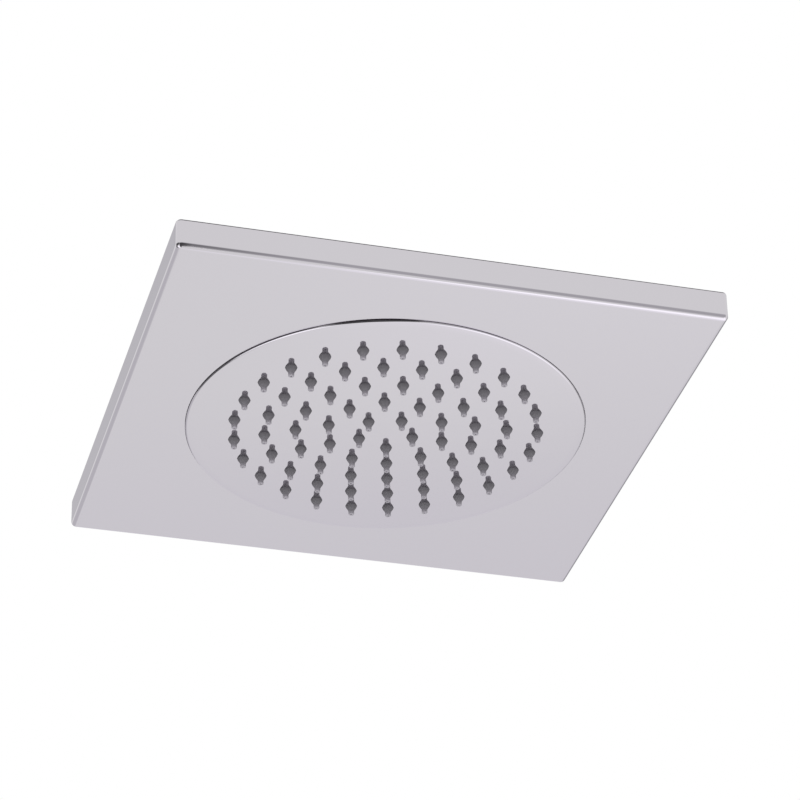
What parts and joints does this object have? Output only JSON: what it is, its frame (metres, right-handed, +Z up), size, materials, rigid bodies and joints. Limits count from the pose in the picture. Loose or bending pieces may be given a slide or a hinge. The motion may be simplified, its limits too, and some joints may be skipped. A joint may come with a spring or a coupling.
{
  "type": "rain shower head",
  "caption": "Square ceiling tile of polished steel with a round domed rain spray plate, rings of grey silicone nozzles and a half-inch inlet.",
  "frame": {"origin": "on the centre axis in the ceiling plane, where the tile's rim ends", "axes": "+Z up into the ceiling along the inlet, +X and +Y along the tile's sides"},
  "size_m": [0.27, 0.27, 0.0487],
  "materials": {
    "polished_steel": "mirror polished",
    "sheet_steel": "pressed, unpolished",
    "fastener_steel": "zinc plated",
    "silicone": "matte",
    "seal_rubber": "matte",
    "moulded_plastic": "as moulded",
    "brass": "turned"
  },
  "bodies": {
    "root": {"tile_cover": "polished_steel", "spray_plate": "polished_steel", "nozzle_mat": "silicone", "ceiling_studs": "fastener_steel", "flange_studs": "fastener_steel", "flange_washers": "fastener_steel", "flange_nuts": "fastener_steel", "rim_gasket": "seal_rubber", "water_diffuser": "moulded_plastic", "chamber_cover": "sheet_steel", "inlet_spigot": "brass", "inlet_seal": "seal_rubber", "inlet_washer": "fastener_steel", "inlet_lock_nut": "brass", "flow_regulator": "moulded_plastic", "regulator_seal": "seal_rubber", "inlet_strainer": "fastener_steel"}
  },
  "joints": []
}
